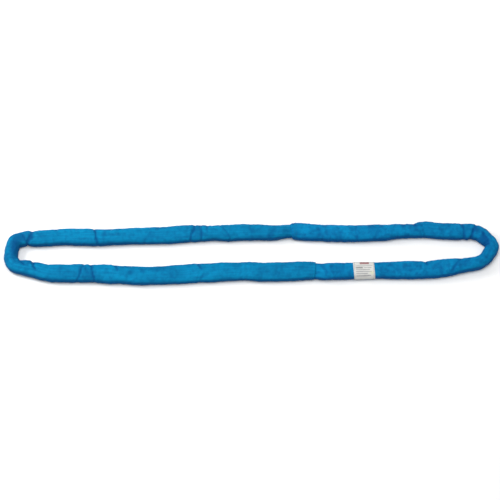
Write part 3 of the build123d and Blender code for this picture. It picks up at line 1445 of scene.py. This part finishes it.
LEFT_STATIONS = tuple(
    Station(*row)
    for row in (
        (0.214, 0.0905, 0.050), (0.165, 0.0930, 0.051), (0.137, 0.0915, 0.053),
        (0.110, 0.0880, 0.0545), (0.080, 0.0860, 0.060), (0.016, 0.0878, 0.065),
        (-0.044, 0.0878, 0.066), (-0.100, 0.0850, 0.0645), (-0.133, 0.0848, 0.0605),
        (-0.192, 0.0835, 0.066), (-0.250, 0.0815, 0.070), (-0.310, 0.0758, 0.0695),
        (-0.370, 0.0737, 0.068), (-0.430, 0.0720, 0.065), (-0.520, 0.0675, 0.064),
        (-0.578, 0.0660, 0.0675), (-0.637, 0.0685, 0.0695), (-0.697, 0.0681, 0.066),
        (-0.755, 0.0640, 0.066), (-0.805, 0.0605, 0.063), (-0.850, 0.0575, 0.057),
        (-0.8785, 0.0450, 0.053), (-0.8880, 0.0200, 0.050), (-0.8895, -0.0080, 0.050),
        (-0.8860, -0.0340, 0.051), (-0.8690, -0.0560, 0.054), (-0.838, -0.0650, 0.055),
        (-0.800, -0.0715, 0.062), (-0.756, -0.0830, 0.066), (-0.726, -0.0860, 0.0714),
        (-0.680, -0.0872, 0.070), (-0.637, -0.0860, 0.0736), (-0.578, -0.0868, 0.068),
        (-0.518, -0.0895, 0.076), (-0.480, -0.0921, 0.070), (-0.430, -0.0950, 0.074),
        (-0.370, -0.0965, 0.071), (-0.311, -0.0934, 0.073), (-0.251, -0.0895, 0.077),
        (-0.192, -0.0845, 0.0745), (-0.162, -0.0850, 0.0745), (-0.103, -0.0800, 0.0745),
        (-0.014, -0.0780, 0.073), (0.045, -0.0810, 0.074), (0.105, -0.0797, 0.0757),
        (0.164, -0.0762, 0.075), (0.200, -0.0750, 0.0735), (0.218, -0.0755, 0.071),
        (0.234, -0.0770, 0.0665),
    )
)
RIGHT_STATIONS = tuple(
    Station(*row)
    for row in (
        (0.172, -0.0765, 0.060), (0.215, -0.0765, 0.061), (0.245, -0.0780, 0.064),
        (0.268, -0.0788, 0.0655), (0.312, -0.0775, 0.066), (0.342, -0.0770, 0.064),
        (0.401, -0.0755, 0.0645), (0.461, -0.0745, 0.064), (0.520, -0.0737, 0.0675),
        (0.580, -0.0724, 0.072), (0.639, -0.0725, 0.066), (0.675, -0.0685, 0.070),
        (0.728, -0.0617, 0.067), (0.758, -0.0570, 0.059), (0.787, -0.0530, 0.054),
        (0.812, -0.0490, 0.051), (0.840, -0.0410, 0.048), (0.862, -0.0250, 0.047),
        (0.877, -0.0030, 0.049), (0.8895, 0.0200, 0.050), (0.8850, 0.0400, 0.050),
        (0.8690, 0.0610, 0.053), (0.8460, 0.0815, 0.058), (0.8180, 0.0895, 0.062),
        (0.787, 0.0910, 0.0635), (0.758, 0.0913, 0.0645), (0.698, 0.0947, 0.064),
        (0.645, 0.1000, 0.066), (0.612, 0.0950, 0.056), (0.550, 0.0935, 0.058),
        (0.515, 0.0890, 0.060), (0.480, 0.0865, 0.065), (0.401, 0.0844, 0.0684),
        (0.312, 0.0840, 0.067), (0.253, 0.0865, 0.066), (0.190, 0.0915, 0.070),
        (0.166, 0.0925, 0.066), (0.146, 0.0895, 0.0595),
    )
)


# ---- inner sleeve and core


@dataclass
class Innards:
    """The inner sleeve and the wound core inside one length of outer sleeve.

    Args:
        side_name: The word for this half in the pieces' names.
        sleeve: The length of outer sleeve that they are in.
        end_x: Where they end, on the leg of the sleeve's mouth.
        end_side: That leg, 1 for the back leg and -1 for the front leg.
        liner_nodes: CAD nodes that the inner sleeve stands for.
        core_nodes: CAD nodes that the core stands for.
        liner_finish: Material of the inner sleeve.
        yarn_finish: Material of the core.
        liner_inset: From the outer skin to the inner sleeve's.
        core_inset: From the outer skin to the core's.
        liner_wall: Thickness of the inner sleeve.
        ring_step: Distance between the rings.
        rows: Turns of yarn in each row of the section, from the lowest.
        row_pitch: Distance between the rows, as a share of the section's half thickness.
        turn_pitch: Distance between the turns of a row, as a share of its half width.
        turn_radius: A turn's radius, as a share of the half thickness.
        turn_girth: Distance once round a turn.
        turn_places: Points round a turn.
    """

    side_name: str
    sleeve: Sleeve
    end_x: float
    end_side: int
    liner_nodes: Sequence[str]
    core_nodes: Sequence[str]
    liner_finish: WovenTube
    yarn_finish: YarnFinish
    liner_inset: float = 0.0040
    core_inset: float = 0.0056
    liner_wall: float = 0.0007
    ring_step: float = 0.010
    rows: Sequence[int] = (5, 7, 5)
    row_pitch: float = 0.66
    turn_pitch: float = 0.262
    turn_radius: float = 0.31
    turn_girth: float = 0.0224
    turn_places: int = 8

    def inner_line(self) -> Line:
        """The sleeve's centre line up to where the innards end, sampled once per ring."""
        end = self.sleeve.line.run_at_x(self.end_x, self.end_side)
        return self.sleeve.line.at(np.arange(0.001, end, self.ring_step))

    def build_liner(self) -> Object:
        """Build the inner sleeve.

        Returns:
            The finished piece.
        """
        liner = self.sleeve.tube_inside(
            f"inner_sleeve_{self.side_name}", self.inner_line(), 28, self.liner_inset, self.liner_wall
        )
        dress(liner, self.liner_finish.make())
        cross_fold(liner)
        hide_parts(*self.liner_nodes)
        return liner

    def turn(self, line: Line, place: tuple[float, float]) -> np.ndarray:
        """Rings of one turn of yarn.

        Args:
            line: The centre line, sampled once per ring.
            place: The turn's place in the section, each way from -1 to 1.

        Returns:
            An array of rings, places and coordinates.
        """
        angle = np.linspace(0, 2 * math.pi, self.turn_places, endpoint=False)
        radius = self.turn_radius
        half_side = (line.width / 2 - self.core_inset)[:, None]
        half_rise = (line.thick / 2 - self.core_inset)[:, None]
        wander = 0.10 * np.sin(line.run * 23.0 + 5.0 * place[0] + 3.0 * place[1]) * radius
        side = half_side * (place[0] + wander[:, None]) + half_rise * radius * np.cos(angle)
        rise = half_rise * (place[1] + radius * np.sin(angle))
        rise += (line.under + line.thick / 2)[:, None]
        return np.stack([*line.beside(side), rise], axis=2)

    def build_core(self) -> Object:
        """Build the turns of yarn as one hank.

        Returns:
            The finished piece.
        """
        line = self.inner_line()
        turns = []
        for row, count in enumerate(self.rows):
            rise = (row - 1) * self.row_pitch
            for i in range(count):
                side = (i - (count - 1) / 2) * self.turn_pitch
                rings = self.turn(line, (side, rise))
                turns.append(tube_mesh(f"turn_{row}_{i}", rings, line.run, self.turn_girth, capped=True))
        core = join(f"core_yarn_{self.side_name}", turns)
        dress(core, self.yarn_finish.make())
        cross_fold(core)
        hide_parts(*self.core_nodes)
        return core


@dataclass
class YarnEndTape:
    """The cloth tape wrapped over the two ends of the core's yarn.

    Args:
        sleeve: The length of outer sleeve that it is in.
        finish: Its material.
        inset: From the outer skin to the tape.
        wall: Its thickness.
        ring_step: Distance between the rings.
    """

    sleeve: Sleeve
    finish: WovenTube
    inset: float = 0.0049
    wall: float = 0.0004
    ring_step: float = 0.004

    def build(self) -> Object:
        """Build and dress the tape.

        Returns:
            The finished piece.
        """
        low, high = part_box("yarn_end_tape")
        line = self.sleeve.line
        runs = np.arange(line.run_at_x(low.x, -1), line.run_at_x(high.x, -1), self.ring_step)
        tape = self.sleeve.tube_inside("yarn_end_wrap", line.at(runs), 32, self.inset, self.wall)
        dress(tape, self.finish.make())
        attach(tape, Body.MIDDLE.value)
        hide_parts("yarn_end_tape")
        return tape


# ---- label and sewing


@dataclass
class Stitching:
    """Rows of stitches across a sleeve.

    Args:
        name: Name of the piece.
        sleeve: The sleeve whose skin they lie on.
        runs: Distances of the rows along the sleeve's centre line.
        node: The CAD node that they stand for.
        slot: The record's slot; not used.
        finish: Their thread.
        lift: Height of the thread's middle over the skin.
        lowest: No stitch lies below this height.
        pitch: Distance from stitch to stitch.
        length: Length of a stitch.
        radius: The thread's radius.
    """

    name: str
    sleeve: Sleeve
    runs: Sequence[float]
    node: str
    slot: Slot
    finish: ThreadFinish
    lift: float = 0.0003
    lowest: float = 0.0025
    pitch: float = 0.0052
    length: float = 0.0036
    radius: float = 0.00055

    def model_stitch(self) -> Mesh:
        """Model one stitch: a thread that dips into the cloth at both ends.

        Returns:
            The stitch's mesh, along X at the origin.
        """
        deselect_all()
        bpy.ops.mesh.primitive_cylinder_add(
            vertices=8, radius=self.radius, depth=self.length, rotation=(0.0, math.pi / 2, 0.0)
        )
        stitch = bpy.context.object
        apply_place(stitch)
        bpy.ops.object.mode_set(mode="EDIT")
        bpy.ops.mesh.select_all(action="SELECT")
        bpy.ops.mesh.bevel(offset=self.radius * 0.7, segments=2, affect="EDGES")
        bpy.ops.mesh.subdivide(number_cuts=1)
        bpy.ops.object.mode_set(mode="OBJECT")
        points = points_of(stitch.data)
        points[:, 2] -= self.radius * 1.4 * (points[:, 0] / (self.length / 2)) ** 2
        put_points(stitch.data, points)
        mesh = stitch.data.copy()
        bpy.data.objects.remove(stitch)
        return mesh

    def places(self) -> list[Matrix]:
        """Where the stitches lie on the sleeve's skin.

        Returns:
            One placing per stitch.
        """
        section = unit_section(360)
        placings = []
        for run in self.runs:
            ring = self.sleeve.shape(np.array([run]), section, -self.lift)[0]
            closed = np.vstack([ring, ring[:1]])
            walked = walk(closed)
            girth, near = walked[-1], 0.0008
            count = int(girth / self.pitch)
            for i in range(count):
                here = girth * i / count
                point, ahead = (
                    Vector([np.interp(place, walked, column) for column in closed.T])
                    for place in (here, (here + near) % girth)
                )
                if point.z < self.lowest:
                    continue
                tangent = (ahead - point).normalized()
                outward = (point - Vector(ring.mean(axis=0))).normalized()
                outward = (outward - tangent * outward.dot(tangent)).normalized()
                turn = Matrix((tangent, outward.cross(tangent), outward)).transposed()
                placings.append(Matrix.Translation(point) @ turn.to_4x4())
        return placings

    def build(self) -> Object:
        """Copy the stitch to every place and join the copies.

        Returns:
            The finished piece.
        """
        model = self.model_stitch()
        copies = []
        for placing in self.places():
            mesh = model.copy()
            mesh.transform(placing)
            copy = bpy.data.objects.new(self.name, mesh)
            bpy.context.scene.collection.objects.link(copy)
            copies.append(copy)
        stitches = join(self.name, copies)
        bpy.data.meshes.remove(model)
        dress(stitches, self.finish.make())
        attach(stitches, Body.MIDDLE.value)
        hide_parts(self.node)
        return stitches


@dataclass
class Label:
    """The label wrapped over the front leg and sewn down at both ends.

    Args:
        sleeve: The sleeve that it lies on.
        finish: Its material.
        lift: From the sleeve's skin to the label's underside.
        wall: Its thickness.
        hem_share: Share of the sleeve's girth left bare on each side of the middle of its underside.
        grid: Size of a face along the leg.
        sag: How far the label's ends are pulled along the leg.
        skew: How far it lies askew.
        edge: Radius of its edges.
    """

    sleeve: Sleeve
    finish: LabelFinish
    lift: float = 0.0005
    wall: float = 0.0008
    hem_share: float = 0.21
    grid: float = 0.0016
    sag: float = 0.0016
    skew: float = 0.0012
    edge: float = 0.0002

    def ends(self) -> tuple[float, float]:
        """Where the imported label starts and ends.

        Returns:
            Both distances along the sleeve's centre line.
        """
        low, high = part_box("label")
        line = self.sleeve.line
        return line.run_at_x(low.x, -1), line.run_at_x(high.x, -1)

    def build(self) -> Object:
        """Build and dress the label.

        Returns:
            The finished piece.
        """
        start, end = self.ends()
        runs = np.arange(start, end, self.grid)
        dense = unit_section(100)
        low, high = int(len(dense) * self.hem_share), int(len(dense) * (1 - self.hem_share))
        strip = dense[low : high + 1]
        rings = self.sleeve.shape(runs, strip, -self.lift)
        slope = np.linspace(-1, 1, len(strip))
        rings[:, :, 0] += self.sag * slope[None, :] ** 2 + self.skew * slope[None, :]
        around = walk(rings[len(runs) // 2])
        places = len(strip)
        faces, uvs = [], []
        for i in range(len(runs) - 1):
            for j in range(places - 1):
                corners = ((i, j), (i, j + 1), (i + 1, j + 1), (i + 1, j))
                faces.append([a * places + b for a, b in corners])
                uvs += [(runs[a] - start, around[b]) for a, b in corners]
        label = mesh_object("label_patch", rings.reshape(-1, 3), faces)
        lay_cloth_map(label, uvs)
        add_wall(label, self.wall, offset=1.0)
        bevel = label.modifiers.new("Edge", "BEVEL")
        bevel.width = self.edge
        bevel.limit_method = "ANGLE"
        bevel.segments = 2
        apply_modifiers(label)
        dress(label, self.finish.make())
        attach(label, Body.MIDDLE.value)
        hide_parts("label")
        LOG.info("label flat size %.3f by %.3f m", end - start, around[-1])
        return label


# ---- studio


@dataclass
class Studio:
    """Floor, lights and camera.

    Args:
        elevation: How steeply the camera looks down, in degrees.
        distance: From the camera to the loop's middle.
        lens: Focal length in millimetres, on a 36 mm sensor.
        aim: What the camera looks at.
    """

    elevation: float = 60.0
    distance: float = 5.15
    lens: float = 100.0
    aim: tuple[float, float, float] = (-0.0065, 0.012, 0.017)

    def lay_floor(self) -> None:
        """Lay the pale floor."""
        deselect_all()
        bpy.ops.mesh.primitive_plane_add(size=40.0, location=(0.0, 0.0, 0.0))
        floor = bpy.context.object
        floor.name = "studio_floor"
        floor.data.materials.append(FloorFinish().make())
        floor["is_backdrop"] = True

    def hang_light(self, name: str, place: Vector, size: float, power: float) -> None:
        """Hang a soft square light that faces the loop.

        Args:
            name: The light's name.
            place: Where it hangs.
            size: Length of its side.
            power: Its power in watts.
        """
        deselect_all()
        bpy.ops.object.light_add(type="AREA", location=place)
        light = bpy.context.object
        light.name = name
        light.data.shape = "SQUARE"
        light.data.size = size
        light.data.energy = power
        light.rotation_euler = (-place).to_track_quat("-Z", "Y").to_euler()

    def set_camera(self) -> None:
        """Stand the camera in front of the loop, looking down at it."""
        tilt = math.radians(self.elevation)
        back_off = Vector((0.0, -math.cos(tilt), math.sin(tilt))) * self.distance
        place = Vector(self.aim) + back_off
        deselect_all()
        bpy.ops.object.camera_add(location=place)
        camera = bpy.context.object
        camera.data.lens = self.lens
        camera.data.sensor_width = 36.0
        camera.data.clip_end = 100.0
        camera.rotation_euler = (-back_off).to_track_quat("-Z", "Y").to_euler()
        bpy.context.scene.camera = camera

    def build(self) -> None:
        """Set up the whole studio."""
        self.lay_floor()
        self.hang_light("overhead", Vector((0.0, -0.4, 3.4)), 3.0, 104.0)
        self.hang_light("left_soft", Vector((-2.8, 0.9, 1.8)), 1.2, 66.0)
        self.hang_light("back_soft", Vector((1.0, 2.8, 2.0)), 1.8, 24.0)
        world = bpy.data.worlds.new("studio_air")
        world.use_nodes = True
        air = world.node_tree.nodes["Background"]
        air.inputs["Color"].default_value = (0.95, 0.97, 1.0, 1.0)
        air.inputs["Strength"].default_value = 0.36
        bpy.context.scene.world = world
        bpy.context.scene.view_settings.view_transform = "Standard"
        self.set_camera()


# ---- the sling

BLUE_SMOOTH = WovenTube(
    "blue_sleeve_left",
    light=(0.0006, 0.212, 0.418),
    deep=(0.0004, 0.126, 0.285),
    mottle=0.45,
    streak_share=0.9,
)
BLUE_WORN = WovenTube(
    "blue_sleeve_right",
    light=(0.0006, 0.218, 0.448),
    deep=(0.0003, 0.130, 0.316),
    mottle=0.72,
    streak_share=0.6,
)
PALE_LINER = WovenTube(
    "pale_inner_sleeve", light=(0.72, 0.71, 0.66), deep=(0.52, 0.51, 0.46), rib_pitch=0.0022, mottle=0.3
)
YARN = YarnFinish("core_yarn", light=(0.80, 0.79, 0.74), deep=(0.42, 0.41, 0.37))
CLOTH_TAPE = WovenTube(
    "cloth_tape",
    light=(0.72, 0.66, 0.50),
    deep=(0.55, 0.49, 0.36),
    rib_pitch=0.0011,
    pick_pitch=0.0011,
    mottle=0.4,
)
BLUE_THREAD = ThreadFinish("blue_thread", (0.006, 0.150, 0.360))
DARK_THREAD = ThreadFinish("dark_thread", (0.04, 0.04, 0.05))
PALE_THREAD = ThreadFinish("pale_thread", (0.62, 0.61, 0.57))
INK_GREY = (0.19, 0.19, 0.21)
INK_BLACK = (0.04, 0.04, 0.05)
INK_MAROON = (0.20, 0.02, 0.03)
LABEL_FINISH = LabelFinish(
    "label_cloth",
    cloth=(0.57, 0.57, 0.54),
    bars=(
        Bar((0.024, 0.058), (0.023, 0.034), INK_MAROON),
        Bar((0.008, 0.070), (0.040, 0.0425), INK_GREY),
        Bar((0.008, 0.034), (0.047, 0.0515), INK_BLACK),
        Bar((0.038, 0.066), (0.048, 0.0505), INK_GREY),
        Bar((0.008, 0.060), (0.056, 0.059), INK_GREY),
        Bar((0.008, 0.066), (0.0635, 0.0665), INK_GREY),
        Bar((0.008, 0.050), (0.071, 0.074), INK_GREY),
        Bar((0.008, 0.062), (0.0785, 0.0815), INK_GREY),
    ),
    stain_place=(0.066, 0.070),
)


@dataclass
class RoundSling:
    """The whole sling: two lengths of sleeve, what is inside them, and the sewing.

    Args:
        lie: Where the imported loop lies.
        joint_rows: Distances of the two rows of stitches from a sleeve's mouth.
        label_row: Distance of a row of stitches from the label's edge.
        label_pin: How far past the label the sleeve under it stays where it is laid.
    """

    lie: Lie
    joint_rows: tuple[float, float] = (0.012, 0.020)
    label_row: float = 0.004
    label_pin: float = 0.004

    def build_sleeves(self) -> tuple[Sleeve, Sleeve]:
        """Build both lengths of outer sleeve.

        Returns:
            The left and the right length.
        """
        label_low, label_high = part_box("label")
        left = Sleeve(
            "outer_sleeve_left",
            LEFT_STATIONS,
            Body.LEFT_EYE,
            ("sleeve_left_eye", "sleeve_left_back", "sleeve_left_front"),
            self.lie,
            BLUE_SMOOTH,
            mouth_roll=0.0038,
        )
        right = Sleeve(
            "outer_sleeve_right",
            RIGHT_STATIONS,
            Body.RIGHT_EYE,
            ("sleeve_right_eye", "sleeve_right_back", "sleeve_right_front"),
            self.lie,
            BLUE_WORN,
            mouth_roll=0.0075,
            pinned_zones=((label_low.x - self.label_pin, label_high.x + self.label_pin),),
        )
        for sleeve in (left, right):
            report(sleeve.build())
        return left, right

    def build_innards(self, left: Sleeve, right: Sleeve) -> None:
        """Build the inner sleeve and the core in both lengths.

        Args:
            left: The left length of outer sleeve.
            right: The right length of outer sleeve.
        """
        halves = (
            Innards(
                "left",
                left,
                end_x=0.172,
                end_side=-1,
                liner_nodes=("liner_left_eye", "liner_back"),
                core_nodes=("core_left_eye", "core_back"),
                liner_finish=PALE_LINER,
                yarn_finish=YARN,
            ),
            Innards(
                "right",
                right,
                end_x=0.214,
                end_side=1,
                liner_nodes=("liner_right_eye", "liner_front"),
                core_nodes=("core_right_eye", "core_front"),
                liner_finish=PALE_LINER,
                yarn_finish=YARN,
            ),
        )
        for half in halves:
            report(half.build_liner())
            report(half.build_core())

    def build_sewing(self, left: Sleeve, right: Sleeve) -> None:
        """Build the label, all stitches and the tape.

        Args:
            left: The left length of outer sleeve.
            right: The right length of outer sleeve.
        """
        label = Label(right, LABEL_FINISH)
        label.build()
        start, end = label.ends()
        low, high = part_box("liner_stitches")
        liner_joint_x = (low.x + high.x) / 2
        joints = [
            Stitching(
                f"{leg}_joint_stitches",
                sleeve,
                [sleeve.line.length - distance for distance in self.joint_rows],
                f"joint_stitches_{leg}",
                Slot.SLEEVE_THREAD,
                BLUE_THREAD,
            )
            for leg, sleeve in (("back", right), ("front", left))
        ]
        rows = (
            *joints,
            Stitching(
                "label_edge_stitches",
                right,
                [start + self.label_row, end - self.label_row],
                "label_stitches",
                Slot.LABEL_THREAD,
                DARK_THREAD,
                lift=label.lift + label.wall + 0.0002,
                lowest=0.0085,
            ),
            Stitching(
                "inner_sleeve_stitches",
                left,
                [left.line.run_at_x(liner_joint_x, 1)],
                "liner_stitches",
                Slot.LINER_THREAD,
                PALE_THREAD,
                lift=0.0003 - Innards.liner_inset,
            ),
        )
        for row in rows:
            report(row.build())
        report(YarnEndTape(right, CLOTH_TAPE).build())

    def build(self) -> None:
        """Build every piece of the sling."""
        left, right = self.build_sleeves()
        self.build_innards(left, right)
        self.build_sewing(left, right)


def main() -> None:
    """Build the sling and its studio."""
    lie = Lie.from_frame()
    LOG.info("scale %.4f, thickness %.4f, folds at %.3f", lie.scale, lie.thickness, lie.fold_x)
    Studio().build()
    RoundSling(lie).build()


if __name__ == "__main__":
    main()
